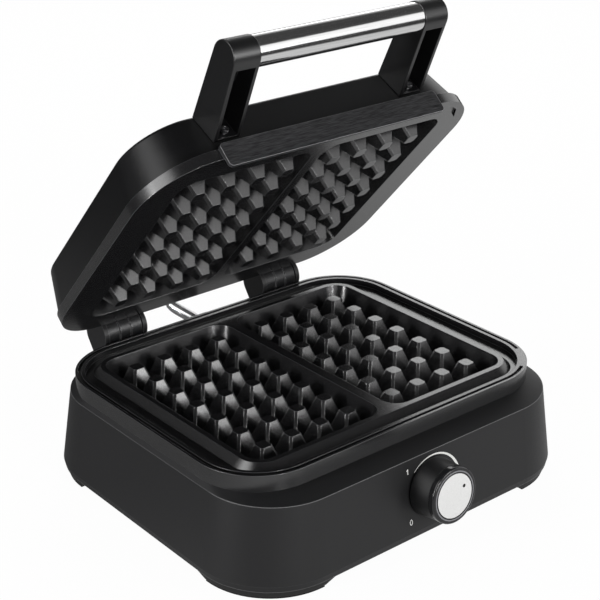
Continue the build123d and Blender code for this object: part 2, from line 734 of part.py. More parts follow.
for side, hand in ((-1, "left"), (1, "right")):
    middle = side * hinge_x
    with BuildPart(bed) as bracket:
        for end in (-1, 1):
            near = middle + end * ear_half
            with BuildSketch(across(bed, near)):
                with BuildLine():
                    Line((shoulder_rear + bracket_shift, shoulder_z),
                         (rear_wall(bracket_ear_z) + bracket_plate, bracket_ear_z))
                    CenterArc((hinge_y, hinge_z), ear_radius, 0, 360)
                make_hull()
            extrude(amount=end * ear_thickness)
            with BuildSketch(across(bed, near)):
                with Locations((hinge_y, hinge_z)):
                    Circle(hinge_pin_diameter / 2 + fit / 2)
            extrude(amount=end * pin_seat, mode=Mode.SUBTRACT)
        with BuildSketch(across(bed, middle)):
            with BuildLine():
                Polyline((rear_wall(bracket_top_z), bracket_top_z),
                         (rear_wall(bracket_low_z), bracket_low_z),
                         (rear_wall(bracket_low_z) + bracket_plate, bracket_low_z),
                         (rear_wall(bracket_top_z) + bracket_plate, bracket_top_z), close=True)
            make_face()
        extrude(amount=ear_half + ear_thickness, both=True)
        for offset in (-bracket_screw_x, bracket_screw_x):
            with BuildSketch(rear_face(middle + offset, bracket_screw_z)):
                Circle(screw_shank / 2 + fit)
            extrude(amount=2 * bracket_plate, mode=Mode.SUBTRACT)
    bracket.part.label = f"hinge_bracket_{hand}"
    export_step(bracket.part, f"parts/hinge_bracket_{hand}.step")

    with BuildPart(bed) as hinge_pin:
        reach = ear_half + pin_seat - fit
        with BuildSketch(across(bed, middle)):
            with Locations((hinge_y, hinge_z)):
                Circle(hinge_pin_diameter / 2)
        extrude(amount=reach, both=True)
    hinge_pin.part.label = f"hinge_pin_{hand}"
    export_step(hinge_pin.part, f"parts/hinge_pin_{hand}.step")

    with BuildPart(lid) as barrel:
        with BuildSketch(across(lid, middle)):
            with Locations((hinge_y, hinge_z)):
                Circle(barrel_radius)
                Circle(hinge_pin_diameter / 2 + fit, mode=Mode.SUBTRACT)
        extrude(amount=barrel_length / 2, both=True)
        for end in (-1, 1):
            with BuildSketch(across(lid, middle + end * barrel_length / 6)):
                with Locations((hinge_y, hinge_z)):
                    Circle(barrel_radius)
                    Circle(barrel_radius - barrel_groove, mode=Mode.SUBTRACT)
            extrude(amount=barrel_groove / 2, both=True, mode=Mode.SUBTRACT)
    barrel.part.label = f"hinge_barrel_{hand}"
    export_step(barrel.part, f"parts/hinge_barrel_{hand}.step")

    with BuildPart(lid) as arm:
        with BuildSketch(across(lid, middle)):
            with BuildLine():
                Polyline((lid_rear - lid_inset(arm_low_z), arm_low_z),
                         (lid_rear - lid_inset(arm_top_z), arm_top_z),
                         (lid_rear - lid_inset(arm_top_z) + arm_thickness, arm_top_z),
                         (hinge_y + barrel_radius + arm_lap, hinge_z + 2 * barrel_radius / 3),
                         (hinge_y, hinge_z + seat),
                         (rim_rear + seat, hinge_z + seat),
                         (rim_rear + seat, arm_low_z), close=True)
            make_face()
            with Locations((hinge_y, hinge_z)):
                Circle(barrel_radius + fit, mode=Mode.SUBTRACT)
        extrude(amount=barrel_length / 2, both=True)
        for offset in (-bracket_screw_x, bracket_screw_x):
            with BuildSketch(lid_face(middle + offset, arm_screw_z, 1)):
                Circle(screw_shank / 2 + fit)
            extrude(amount=arm_thickness, mode=Mode.SUBTRACT)
    arm.part.label = f"hinge_arm_{hand}"
    export_step(arm.part, f"parts/hinge_arm_{hand}.step")

with BuildPart() as arm_screws:
    for x in hinge_screw_xs:
        with Locations(lid_face(x, arm_screw_z, 1).offset(-lid_wall / cos(lid_lean))):
            add(screw(lid_wall + arm_thickness - screw_relief))
arm_screws.part.label = "arm_screws"
export_step(arm_screws.part, "parts/arm_screws.step")

# Lid shell: one shell with a flange at its mouth and an open top that takes the panel
with BuildPart(lid) as lid_shell:
    for height, corner in ((upper_seam_z, lid_corner), (lid_top_z, lid_top_corner)):
        come_in = lid_inset(height)
        with BuildSketch(lid.offset(height)):
            footprint(lid_half_width - come_in, lid_front - come_in, lid_rear - come_in, corner)
    loft(ruled=True)
    fillet(lid_shell.edges().group_by(Axis((0, 0, 0), lid.z_dir))[-1], lid_edge_round)
    for height, corner in ((flange_z, lid_corner), (lid_top_z - lid_wall, lid_top_corner)):
        come_in = lid_inset(height) + lid_wall
        with BuildSketch(lid.offset(height)):
            footprint(lid_half_width - come_in, lid_front - come_in, lid_rear - come_in,
                      corner - lid_wall)
    loft(ruled=True, mode=Mode.SUBTRACT)
    with BuildSketch(lid.offset(upper_seam_z)):
        footprint(lid_half_width - ledge_width, lid_front - ledge_width, lid_rear - ledge_width,
                  lid_corner - ledge_width)
    extrude(amount=2 * lid_wall, mode=Mode.SUBTRACT)
    with BuildSketch(lid.offset(lid_top_z)):
        RectangleRounded(2 * (panel_half_width + fit), 2 * (panel_half_depth + fit),
                         panel_corner + fit)
    extrude(amount=-panel_thickness, mode=Mode.SUBTRACT)
    with BuildSketch(lid.offset(lid_top_z)):
        RectangleRounded(2 * (panel_half_width - panel_step), 2 * (panel_half_depth - panel_step),
                         panel_corner - panel_step)
    extrude(amount=-2 * lid_wall, mode=Mode.SUBTRACT)
    # Holes for the plate, arm and handle screws and for the conduit
    with BuildSketch(lid.offset(upper_seam_z)):
        with Locations(*lug_places):
            Circle(screw_shank / 2 + fit)
    extrude(amount=2 * lid_wall, mode=Mode.SUBTRACT)
    for x in hinge_screw_xs:
        with BuildSketch(lid_face(x, arm_screw_z, 1)):
            Circle(screw_shank / 2 + fit)
        extrude(amount=-2 * lid_wall, mode=Mode.SUBTRACT)
    for x in (-handle_x, handle_x):
        for z in handle_screw_zs:
            with BuildSketch(lid_face(x, z, -1)):
                Circle(screw_shank / 2 + fit)
            extrude(amount=-2 * lid_wall, mode=Mode.SUBTRACT)
    with BuildSketch(lid_face(0, conduit_lid_z, 1)):
        Circle(conduit_radius - screw_relief)
    extrude(amount=-2 * lid_wall, mode=Mode.SUBTRACT)
lid_shell.part.label = "lid_shell"
export_step(lid_shell.part, "parts/lid_shell.step")

with BuildPart(lid) as lid_panel:
    with BuildSketch(lid.offset(lid_top_z)):
        RectangleRounded(2 * panel_half_width, 2 * panel_half_depth, panel_corner)
    extrude(amount=-panel_thickness)
lid_panel.part.label = "lid_panel"
export_step(lid_panel.part, "parts/lid_panel.step")

# Steel strip across the front of the upper plate, thinner where it passes the lower rim
strip_low_z = land_z - strip_drop
strip_face = Plane(lid.from_local_coords((0, -rim_front, strip_low_z + strip_height / 2)),
                   x_dir=(1, 0, 0), z_dir=-lid.y_dir)
with BuildPart(strip_face) as front_strip:
    with BuildSketch(strip_face):
        RectangleRounded(2 * strip_half_width, strip_height, strip_round)
    extrude(amount=strip_thickness)
    with BuildSketch(strip_face):
        with Locations((0, -strip_height / 2)):
            Rectangle(2 * strip_half_width, 2 * strip_drop)
    extrude(amount=strip_clearance, mode=Mode.SUBTRACT)
front_strip.part.label = "front_strip"
export_step(front_strip.part, "parts/front_strip.step")

# Thermal fuse on the upper reflector
with BuildPart(lid) as thermal_fuse:
    fuse_z = upper_web_z + boss_height + reflector_sheet
    with BuildSketch(lid.offset(fuse_z)):
        with Locations((element_gap * 2, 0)):
            Rectangle(fuse_base, fuse_width)
    extrude(amount=2 * reflector_sheet)
    with BuildSketch(across(lid, element_gap * 2)):
        with Locations((0, fuse_z + 2 * reflector_sheet + fuse_radius / 2)):
            Circle(fuse_radius)
    extrude(amount=fuse_half, both=True)
thermal_fuse.part.label = "thermal_fuse"
export_step(thermal_fuse.part, "parts/thermal_fuse.step")

# Handle: two open brackets that carry a steel tube on a core
for side, hand in ((-1, "left"), (1, "right")):
    with BuildPart(lid) as handle_bracket:
        with BuildSketch(across(lid, side * handle_x)):
            with BuildLine():
                Line((-lid_front + lid_inset(arm_root_z), arm_root_z),
                     (-lid_front + lid_inset(arm_tip_z), arm_tip_z))
                CenterArc((-tube_y, tube_z), cap_round, 0, 360)
            make_hull()
        extrude(amount=bracket_width / 2, both=True)
        side_edges = handle_bracket.edges().filter_by(GeomType.LINE).filter_by(Axis.X, reverse=True)
        fillet(side_edges, bracket_round)
        with BuildSketch(across(lid, side * handle_x)):
            with BuildLine():
                root_y = -lid_front + lid_inset(arm_root_z)
                tip_y = -lid_front + lid_inset(arm_tip_z)
                keep = spigot_radius + bracket_side
                inner_end = [(-tube_y + keep * cos(radians(turn)), tube_z - keep * sin(radians(turn)))
                             for turn in (10, 50, 90)]
                Polyline((root_y - bracket_back, arm_root_z - 2 * bracket_side),
                         (tip_y - bracket_back, arm_tip_z - bracket_side), *inner_end,
                         (-tube_y, tube_z - 2 * cap_round), close=True)
            make_face()
        extrude(amount=bracket_width / 2 - bracket_side, both=True, mode=Mode.SUBTRACT)
        with BuildSketch(across(lid, side * (handle_x - bracket_width / 2))):
            with Locations((-tube_y, tube_z)):
                Circle(spigot_radius + fit)
        extrude(amount=side * (spigot_length + fit), mode=Mode.SUBTRACT)
        for z in handle_screw_zs:
            with BuildSketch(lid_face(side * handle_x, z, -1)):
                Circle(screw_shank / 2 + fit)
            extrude(amount=2 * bracket_back, mode=Mode.SUBTRACT)
    handle_bracket.part.label = f"handle_bracket_{hand}"
    export_step(handle_bracket.part, f"parts/handle_bracket_{hand}.step")

with BuildPart() as handle_screws:
    for x in (-handle_x, handle_x):
        for z in handle_screw_zs:
            head_seat = lid_face(x, z, -1).offset(bracket_back + seat)
            with Locations(head_seat.rotated((180, 0, 0))):
                add(screw(bracket_back + 2 * lid_wall - screw_relief))
handle_screws.part.label = "handle_screws"
export_step(handle_screws.part, "parts/handle_screws.step")

tube_half = handle_x - bracket_width / 2 - fit
with BuildPart(lid) as handle_tube:
    with BuildSketch(across(lid, 0)):
        with Locations((-tube_y, tube_z)):
            Circle(tube_radius)
            Circle(tube_radius - tube_wall, mode=Mode.SUBTRACT)
    extrude(amount=tube_half, both=True)
handle_tube.part.label = "handle_tube"
export_step(handle_tube.part, "parts/handle_tube.step")

with BuildPart(lid) as handle_core:
    for radius, reach in ((tube_radius - tube_wall - fit, tube_half),
                          (spigot_radius, tube_half + spigot_length)):
        with BuildSketch(across(lid, 0)):
            with Locations((-tube_y, tube_z)):
                Circle(radius)
        extrude(amount=reach, both=True)
handle_core.part.label = "handle_core"
export_step(handle_core.part, "parts/handle_core.step")

# Conduit for the lid's wires: from a boss behind the rim, round and up into the lid
with BuildPart(bed) as conduit_boss:
    with BuildSketch(across(bed, 0)):
        with BuildLine():
            near_y = rim_rear + 3 * seat
            shoulder_run = shoulder_rear - (rim_rear - seam_inset)
            near_z = shoulder_z + (shoulder_rear - near_y) * (plate_foot_z - shoulder_z) / shoulder_run
            Polyline((near_y, near_z), (shoulder_rear, shoulder_z),
                     (rear_wall(conduit_boss_low_z), conduit_boss_low_z),
                     (conduit_boss_rear, conduit_boss_low_z),
                     (conduit_boss_rear, conduit_boss_top_z),
                     (near_y, conduit_boss_top_z), close=True)
        make_face()
    extrude(amount=conduit_boss_half, both=True)
    with BuildSketch(Plane((0, bed_y + conduit_boss_rear, conduit_socket_z), x_dir=(1, 0, 0),
                           z_dir=(0, -1, 0))):
        Circle(conduit_radius + fit)
    extrude(amount=conduit_boss_rear - conduit_socket_y + fit, mode=Mode.SUBTRACT)
conduit_boss.part.label = "conduit_boss"
export_step(conduit_boss.part, "parts/conduit_boss.step")

lid_entry = lid_face(0, conduit_lid_z, 1)
conduit_start = Vector(0, bed_y + conduit_socket_y, conduit_socket_z)
conduit_points = [
    conduit_start,
    Vector(0, bed_y + conduit_boss_rear + 2, conduit_socket_z),
    Vector(0, bed_y + conduit_rear_y, conduit_socket_z + conduit_rise),
    lid_entry.origin + lid_entry.z_dir * conduit_stub,
    lid_entry.origin + lid_entry.z_dir * seat,
]
with BuildPart() as wire_conduit:
    with BuildLine() as run:
        FilletPolyline(*conduit_points, radius=conduit_bends)
    with BuildSketch(Plane(run.line @ 0, z_dir=run.line % 0)):
        Circle(conduit_radius)
    sweep()
wire_conduit.part.label = "wire_conduit"
export_step(wire_conduit.part, "parts/wire_conduit.step")

with BuildPart() as conduit_collar:
    with BuildSketch(lid_entry):
        Circle(collar_radius)
        Circle(conduit_radius + seat, mode=Mode.SUBTRACT)
    extrude(amount=collar_depth)
conduit_collar.part.label = "conduit_collar"
export_step(conduit_collar.part, "parts/conduit_collar.step")
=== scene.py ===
from math import atan2, cos, pi, radians, sin

import bmesh
import bpy
from mathutils import Matrix, Vector


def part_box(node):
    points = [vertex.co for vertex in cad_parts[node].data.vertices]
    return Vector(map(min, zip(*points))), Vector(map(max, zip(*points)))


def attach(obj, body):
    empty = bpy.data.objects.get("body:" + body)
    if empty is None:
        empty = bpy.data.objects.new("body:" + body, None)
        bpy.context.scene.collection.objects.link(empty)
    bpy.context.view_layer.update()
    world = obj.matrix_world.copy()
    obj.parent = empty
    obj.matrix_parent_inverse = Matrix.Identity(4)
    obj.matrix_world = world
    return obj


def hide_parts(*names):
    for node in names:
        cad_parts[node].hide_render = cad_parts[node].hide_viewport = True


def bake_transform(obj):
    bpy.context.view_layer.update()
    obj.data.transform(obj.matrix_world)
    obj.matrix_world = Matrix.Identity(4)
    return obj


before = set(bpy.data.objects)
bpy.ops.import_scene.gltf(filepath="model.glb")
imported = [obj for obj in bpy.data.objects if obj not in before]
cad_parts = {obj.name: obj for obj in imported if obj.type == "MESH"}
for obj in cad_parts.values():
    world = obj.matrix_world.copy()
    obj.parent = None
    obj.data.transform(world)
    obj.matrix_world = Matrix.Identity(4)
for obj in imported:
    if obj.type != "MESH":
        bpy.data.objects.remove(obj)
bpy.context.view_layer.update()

scene = bpy.context.scene
scene.view_settings.view_transform = "Standard"

# Camera: a long lens that looks down on the open appliance from its front left.
# Its place was worked out from the even rows of studs in the photograph.
bed_y = -0.0062  # the middle of the stud beds, a little in front of the origin
camera_place = Vector((-0.60507, -0.72643 + bed_y, 0.55187))
camera_data = bpy.data.cameras.new("camera")
camera_data.lens = 89.18
camera_data.sensor_width = 36.0
camera_data.clip_start = 0.05
camera = bpy.data.objects.new("camera", camera_data)
scene.collection.objects.link(camera)
to_right = Vector((0.7693, -0.6389, 0.0)).normalized()
to_back = Vector((-0.5828, -0.7017, 0.4099)).normalized()
to_right = (to_right - to_back * to_right.dot(to_back)).normalized()
facing = Matrix((to_right, to_back.cross(to_right), to_back)).transposed().to_4x4()
camera.matrix_world = Matrix.Translation(camera_place) @ facing
scene.camera = camera


# Studio: a white table in a room whose walls are lit at their foot and dark above, with six
# soft lamps. Black plastic and steel show their shape by what they mirror of it.
def rgb(text):
    """A colour written as sRGB hex, as the linear values that the shaders take."""
    channels = [int(text[i:i + 2], 16) / 255 for i in (0, 2, 4)]
    linear = [c / 12.92 if c <= 0.04045 else ((c + 0.055) / 1.055) ** 2.4 for c in channels]
    return (*linear, 1.0)


def add_node(tree, kind, settings=None, links=None):
    """Adds a shader node, sets its fields and sockets by name, and links its inputs."""
    node = tree.nodes.new(kind)
    for key, value in (settings or {}).items():
        if isinstance(key, str) and hasattr(node, key):
            setattr(node, key, value)
        else:
            node.inputs[key].default_value = value
    for key, output in (links or {}).items():
        tree.links.new(output, node.inputs[key])
    return node


# The walls' light ends at a height on the unit sphere, in front lower and sharper than behind.
# It is full on the right of the room, and a glow high on the left stands in for a window.
unlit = 0.06
front_wall_light, front_wall_top = 1.2, (0.49, 0.55)
rear_wall_light, rear_wall_top = 1.1, (0.42, 0.66)
left_wall_share = 0.08
rightward = (1.0, -0.85, 0.0)
glow_light, glow_towards, glow_edge = 5.0, (-0.75, 0.2, 0.63), (0.9, 0.985)
even_light = 0.3
world = bpy.data.worlds.new("studio")
scene.world = world
world.use_nodes = True
world.cycles.sampling_method = "NONE"  # so that every ray to the room keeps its own kind
tree = world.node_tree
tree.nodes.clear()
direction = add_node(tree, "ShaderNodeTexCoord").outputs["Generated"]
apart = add_node(tree, "ShaderNodeSeparateXYZ", links={0: direction})
front_wall = add_node(tree, "ShaderNodeMapRange",
                      {"From Min": front_wall_top[0], "From Max": front_wall_top[1],
                       "To Min": front_wall_light, "To Max": unlit},
                      {"Value": apart.outputs["Z"]})
rear_wall = add_node(tree, "ShaderNodeMapRange",
                     {"From Min": rear_wall_top[0], "From Max": rear_wall_top[1],
                      "To Min": rear_wall_light, "To Max": unlit},
                     {"Value": apart.outputs["Z"]})
behind = add_node(tree, "ShaderNodeMapRange", {"From Min": -0.1, "From Max": 0.1},
                  {"Value": apart.outputs["Y"]})
walls = add_node(tree, "ShaderNodeMix", links={0: behind.outputs[0], 2: front_wall.outputs[0],
                                               3: rear_wall.outputs[0]})
sideways = add_node(tree, "ShaderNodeVectorMath",
                    {"operation": "DOT_PRODUCT", 1: rightward}, {0: direction})
to_the_right = add_node(tree, "ShaderNodeMapRange",
                        {"From Min": -0.1, "From Max": 0.1, "To Min": left_wall_share,
                         "To Max": 1.0}, {"Value": sideways.outputs["Value"]})
leftward = add_node(tree, "ShaderNodeVectorMath",
                    {"operation": "DOT_PRODUCT", 1: glow_towards}, {0: direction})
left_glow = add_node(tree, "ShaderNodeMapRange",
                     {"From Min": glow_edge[0], "From Max": glow_edge[1], "To Min": 0.0,
                      "To Max": glow_light}, {"Value": leftward.outputs["Value"]})
both = add_node(tree, "ShaderNodeMath", {"operation": "MULTIPLY_ADD"},
                {0: walls.outputs[0], 1: to_the_right.outputs[0], 2: left_glow.outputs[0]})
path = add_node(tree, "ShaderNodeLightPath")
lighting = add_node(tree, "ShaderNodeBackground",
                    {"Color": rgb("ffffff"), "Strength": even_light})
mirrored_room = add_node(tree, "ShaderNodeBackground", {"Color": rgb("ffffff")},
                         {"Strength": both.outputs[0]})
seen = add_node(tree, "ShaderNodeBackground", {"Color": rgb("ffffff"), "Strength": 1.0})
unseen = add_node(tree, "ShaderNodeMixShader",
                  links={"Fac": path.outputs["Is Glossy Ray"], 1: lighting.outputs[0],
                         2: mirrored_room.outputs[0]})
whole = add_node(tree, "ShaderNodeMixShader",
                 links={"Fac": path.outputs["Is Camera Ray"], 1: unseen.outputs[0],
                        2: seen.outputs[0]})
add_node(tree, "ShaderNodeOutputWorld", links={"Surface": whole.outputs[0]})


def softbox(name, place, target, width, height, power, mirrored=False):
    """An area lamp of a width and height in metres and a power in watts, that faces its
    target. Only one that is mirrored shows in gloss."""
    data = bpy.data.lights.new(name, "AREA")
    data.shape = "RECTANGLE"
    data.size = width
    data.size_y = height
    data.energy = power
    lamp = bpy.data.objects.new(name, data)
    scene.collection.objects.link(lamp)
    aim = (Vector(target) - Vector(place)).to_track_quat("-Z", "Y")
    lamp.matrix_world = Matrix.Translation(place) @ aim.to_matrix().to_4x4()
    lamp.visible_glossy = mirrored


softbox("front_box", (0.66, -1.56, 0.52), (0, 0, 0.12), 0.5, 0.6, 9, mirrored=True)
softbox("front_strip", (-0.18, -1.58, 0.47), (0, 0, 0.08), 0.14, 0.5, 10, mirrored=True)
softbox("left_strip", (-1.57, 0.09, 0.40), (0, 0, 0.08), 0.14, 0.5, 14, mirrored=True)
softbox("left_fill", (-1.5, -0.4, 0.7), (0, 0, 0.1), 0.6, 0.9, 4)
softbox("rear_box", (1.10, 1.06, 0.80), (0, 0, 0.08), 0.75, 0.26, 1.5, mirrored=True)
softbox("rear_fill", (0.9, 1.2, 1.3), (0, 0, 0.1), 1.0, 0.5, 14)

# In gloss the table glows with a painted light: bright round the appliance, fading to dark
# further out, and brighter on the camera's side, a painted reflection. It lies a hair below
# the feet, and keeps their shadow.
table_half_width = 6
table_drop = 0.0001
table_light, table_dark, table_end = 0.72, 0.05, (0.62, 0.85)
painted_dim_share, painted_bright_share = 0.3, 0.95
camera_side, side_edge = (0.5, -1.0, 0.0), (-0.15, 0.12)
shown_white = 0.97
bm = bmesh.new()
bmesh.ops.create_grid(bm, x_segments=1, y_segments=1, size=table_half_width)
bmesh.ops.translate(bm, verts=bm.verts, vec=(0, 0, -table_drop))
floor_mesh = bpy.data.meshes.new("floor")
bm.to_mesh(floor_mesh)
bm.free()
floor = bpy.data.objects.new("floor", floor_mesh)
scene.collection.objects.link(floor)
paper = bpy.data.materials.new("white_paper")
paper.use_nodes = True
tree = paper.node_tree
shader = tree.nodes["Principled BSDF"]
shader.inputs["Base Color"].default_value = rgb("f4f4f4")
shader.inputs["Roughness"].default_value = 0.9
place = add_node(tree, "ShaderNodeTexCoord")
reach = add_node(tree, "ShaderNodeVectorMath", {"operation": "LENGTH"},
                 {0: place.outputs["Object"]})
table = add_node(tree, "ShaderNodeMapRange",
                 {"From Min": table_end[0], "From Max": table_end[1],
                  "To Min": table_light, "To Max": table_dark},
                 {"Value": reach.outputs["Value"]})
frontward = add_node(tree, "ShaderNodeVectorMath", {"operation": "DOT_PRODUCT", 1: camera_side},
                     {0: place.outputs["Object"]})
painted_bright_side = add_node(tree, "ShaderNodeMapRange",
                    {"From Min": side_edge[0], "From Max": side_edge[1],
                     "To Min": painted_dim_share, "To Max": painted_bright_share},
                    {"Value": frontward.outputs["Value"]})
# Painted glow: the table's brightness as gloss sees it, fading outward and brighter on the
# camera's side.
painted_glow = add_node(tree, "ShaderNodeMath", {"operation": "MULTIPLY"},
                   {0: table.outputs[0], 1: painted_bright_side.outputs[0]})
path = add_node(tree, "ShaderNodeLightPath")
bright = add_node(tree, "ShaderNodeMath", {"operation": "MAXIMUM"},
                  {0: painted_glow.outputs[0], 1: path.outputs["Is Camera Ray"]})
glow = add_node(tree, "ShaderNodeEmission", {"Color": rgb("ffffff")},
                {"Strength": bright.outputs[0]})
share = add_node(tree, "ShaderNodeMath", {"operation": "MULTIPLY_ADD", 1: shown_white},
                 {0: path.outputs["Is Camera Ray"], 2: path.outputs["Is Glossy Ray"]})
mix = add_node(tree, "ShaderNodeMixShader",
               links={"Fac": share.outputs[0], 1: shader.outputs[0], 2: glow.outputs[0]})
tree.links.new(mix.outputs[0], tree.nodes["Material Output"].inputs["Surface"])
floor_mesh.materials.append(paper)


# Feet and bottom cover: black polypropylene out of a mould, with soft rubber pads let in
# under the feet. The mould's eroded grain makes them dull, and their edges are painted a
# little lighter, a painted highlight.
def finish(name, colour, roughness, metallic=0.0, specular=0.5):
    """A material named for what it is, with the shader's own even values."""
    material = bpy.data.materials.new(name)
    material.use_nodes = True
    shader = material.node_tree.nodes["Principled BSDF"]
    shader.inputs["Base Color"].default_value = rgb(colour)
    shader.inputs["Roughness"].default_value = roughness
    shader.inputs["Metallic"].default_value = metallic
    shader.inputs["Specular IOR Level"].default_value = specular
    return material


def work_surface(material, tones, roughness, grain, depth, edge, edge_highlight=None,
                 stretch=(1, 1, 1), turn=0.0):
    """Gives a material its grain: tones, dullness and relief follow one pattern of grain mm,
    stretched the way the surface was worked. A mould's or a coating's real grain is finer
    than a pixel, so it is drawn coarser. The edges are broken by edge mm, and a painted
    highlight turns them to a lighter tone: the one given, or else the lighter grain tone."""
    low, high = 0.3, 0.7  # the noise hardly leaves these values
    edge_begins, edge_full = 0.995, 0.93  # how far the rounded normal leans from the face's
    tree = material.node_tree
    shader = tree.nodes["Principled BSDF"]
    place = add_node(tree, "ShaderNodeTexCoord")
    mapping = add_node(tree, "ShaderNodeMapping", {"Rotation": (turn, 0, 0), "Scale": stretch},
                       {"Vector": place.outputs["Object"]})
    noise = add_node(tree, "ShaderNodeTexNoise", {"Scale": 1000 / grain, "Detail": 4.0},
                     {"Vector": mapping.outputs["Vector"]})
    ramp = add_node(tree, "ShaderNodeValToRGB", links={"Fac": noise.outputs["Fac"]})
    for element, position, tone in zip(ramp.color_ramp.elements, (low, high), tones):
        element.position = position
        element.color = rgb(tone)
    dull = add_node(tree, "ShaderNodeMapRange",
                    {"From Min": low, "From Max": high, "To Min": roughness[0],
                     "To Max": roughness[1]}, {"Value": noise.outputs["Fac"]})
    rounded_normal = add_node(tree, "ShaderNodeBevel", {"samples": 8, "Radius": edge / 1000})
    flat = add_node(tree, "ShaderNodeNewGeometry")
    along = add_node(tree, "ShaderNodeVectorMath", {"operation": "DOT_PRODUCT"},
                     {0: rounded_normal.outputs["Normal"], 1: flat.outputs["Normal"]})
    edges = add_node(tree, "ShaderNodeMapRange",
                     {"From Min": edge_begins, "From Max": edge_full},
                     {"Value": along.outputs["Value"]})
    # Painted highlight: the colour goes to a lighter tone where the rounded normal leans off the
    # face.
    tone = add_node(tree, "ShaderNodeMix", {"data_type": "RGBA", 7: rgb(edge_highlight or tones[1])},
                    {0: edges.outputs["Result"], 6: ramp.outputs["Color"]})
    bump = add_node(tree, "ShaderNodeBump", {"Strength": 0.6, "Distance": depth / 1000},
                    {"Height": noise.outputs["Fac"], "Normal": rounded_normal.outputs["Normal"]})
    tree.links.new(tone.outputs[2], shader.inputs["Base Color"])
    tree.links.new(dull.outputs["Result"], shader.inputs["Roughness"])
    tree.links.new(bump.outputs["Normal"], shader.inputs["Normal"])
    return material


def dress(material, *names):
    """Puts a finish on CAD pieces by their names."""
    for name in names:
        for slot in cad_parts[name].material_slots:
            slot.link = "OBJECT"
            slot.material = material


# The eroded mould takes the gloss off the plastic.
foot_plastic = finish("moulded_black_polypropylene", "101010", 0.6, specular=0.35)
work_surface(foot_plastic, ("0e0e0e", "131313"), (0.55, 0.68), 0.8, 0.05, 0.8)
dress(foot_plastic, "foot_front_left", "foot_front_right", "foot_rear_left", "foot_rear_right",
      "bottom_cover")
# Moulded rubber scatters nearly all light, and looks a flat black.
rubber = finish("black_silicone_rubber", "0c0c0c", 0.8, specular=0.3)
work_surface(rubber, ("0a0a0a", "101010"), (0.75, 0.88), 0.9, 0.06, 0.4)
dress(rubber, "foot_pads")

# Screws: pan heads with a hexagon socket, the same kind all over. They are cold headed of
# steel, tumbled and plated with zinc, which gives a soft grey shine with a faint mottle.
zinc = finish("zinc_plated_steel", "9a9a9c", 0.3, metallic=1.0)
work_surface(zinc, ("8d8d90", "a8a8aa"), (0.26, 0.4), 0.7, 0.03, 0.3)
dress(zinc, "bottom_screws", "lower_plate_screws", "upper_plate_screws", "hinge_screws",
      "arm_screws", "handle_screws", "lower_reflector_screws", "upper_reflector_screws")

# Heating: a sheathed tube under each plate, which its own heat has turned a blotched brown
# grey, and a sheet behind it that throws the heat back. A thermal fuse guards the upper one.
sheath = finish("heat_dulled_sheath", "5a5552", 0.5, metallic=0.8)
work_surface(sheath, ("47423f", "6e6862"), (0.42, 0.6), 6.0, 0.03, 0.3)
dress(sheath, "lower_heating_element", "upper_heating_element")
# Rolled aluminised steel: bright, but too uneven to give a clear picture.
mirror_sheet = finish("aluminised_sheet", "b9babb", 0.35, metallic=1.0)
work_surface(mirror_sheet, ("adaeaf", "c4c5c6"), (0.3, 0.42), 3.0, 0.06, 0.3)
dress(mirror_sheet, "lower_reflector", "upper_reflector")
# A heat-proof moulding compound: off-white, with a dull skin.
pale_moulding = finish("pale_heatproof_moulding", "d8d2c4", 0.45)
work_surface(pale_moulding, ("cfc9ba", "e0dace"), (0.4, 0.55), 3.0, 0.05, 0.4)
dress(pale_moulding, "terminal_block", "thermal_fuse")

# Thermostat and its shaft: a pressed can of plated sheet behind the front wall, plain grey
# with a little spangle, and a turned brass spindle that the knob is pushed on.
plated_can = finish("plated_sheet_can", "97979a", 0.4, metallic=0.9)
work_surface(plated_can, ("88888b", "a5a5a8"), (0.34, 0.48), 1.4, 0.05, 0.4)
dress(plated_can, "thermostat")
# The lathe leaves rings round the spindle, which draw its shine out into bands.
brass = finish("turned_brass", "b08d57", 0.35, metallic=1.0)
work_surface(brass, ("a28150", "bd9a63"), (0.28, 0.42), 2.0, 0.03, 0.3, stretch=(1, 8, 1))
dress(brass, "thermostat_shaft")

# Housing: one shell of matt black ABS, flared to the bottom, with a soft ridge at its
# shoulder. It is moulded in one piece, and the bottom cover is screwed up into it.
# The mould's eroded grain keeps its highlights broad and weak.
housing_plastic = finish("matt_black_abs", "171718", 0.5, specular=0.3)
# Its edges, the shoulder ridge too, are painted a light grey, a painted highlight.
work_surface(housing_plastic, ("151516", "19191a"), (0.42, 0.52), 0.9, 0.04, 0.9, "6a6a6b")
dress(housing_plastic, "base_housing")
# Moulded nylon: a plain black, with a slightly waxy shine.
gland_plastic = finish("moulded_black_nylon", "121212", 0.5, specular=0.4)
work_surface(gland_plastic, ("101010", "161616"), (0.46, 0.6), 0.9, 0.05, 0.5)
dress(gland_plastic, "cord_gland")

# Dial marks: white ink printed on the front wall round the knob. An arc grows from a hair
# line to a thick end, and a plain figure stands at each end of the knob's travel.
shoulder_front = 0.1305
housing_front = 0.1360
shoulder_z = 0.0642
tuck_z = 0.0105
wall_slope = (housing_front - shoulder_front) / (shoulder_z - tuck_z)
knob_z = 0.0392
knob_y = bed_y - shoulder_front - (shoulder_z - knob_z) * wall_slope
wall_out = Vector((0, -1, wall_slope)).normalized()
wall_up = Vector((0, wall_slope, 1)).normalized()
wall_frame = Matrix((Vector((1, 0, 0)), wall_up, wall_out)).transposed().to_4x4()
wall_frame = Matrix.Translation((0, knob_y, knob_z)) @ wall_frame
ink_thickness = 0.00006
# Pad-printed ink lies flat and dull, and its white is a little warm.
white_ink = finish("white_pad_print", "d9d9d6", 0.55, specular=0.3)
work_surface(white_ink, ("cfcfcc", "e2e2df"), (0.5, 0.62), 0.9, 0.01, 0.05)


def show(name, bm, material, body):
    """Makes an object of a finished mesh and lets it ride on its body."""
    mesh = bpy.data.meshes.new(name)
    bm.to_mesh(mesh)
    bm.free()
    mesh.materials.append(material)
    made = bpy.data.objects.new(name, mesh)
    scene.collection.objects.link(made)
    if body:
        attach(made, body)
    return made


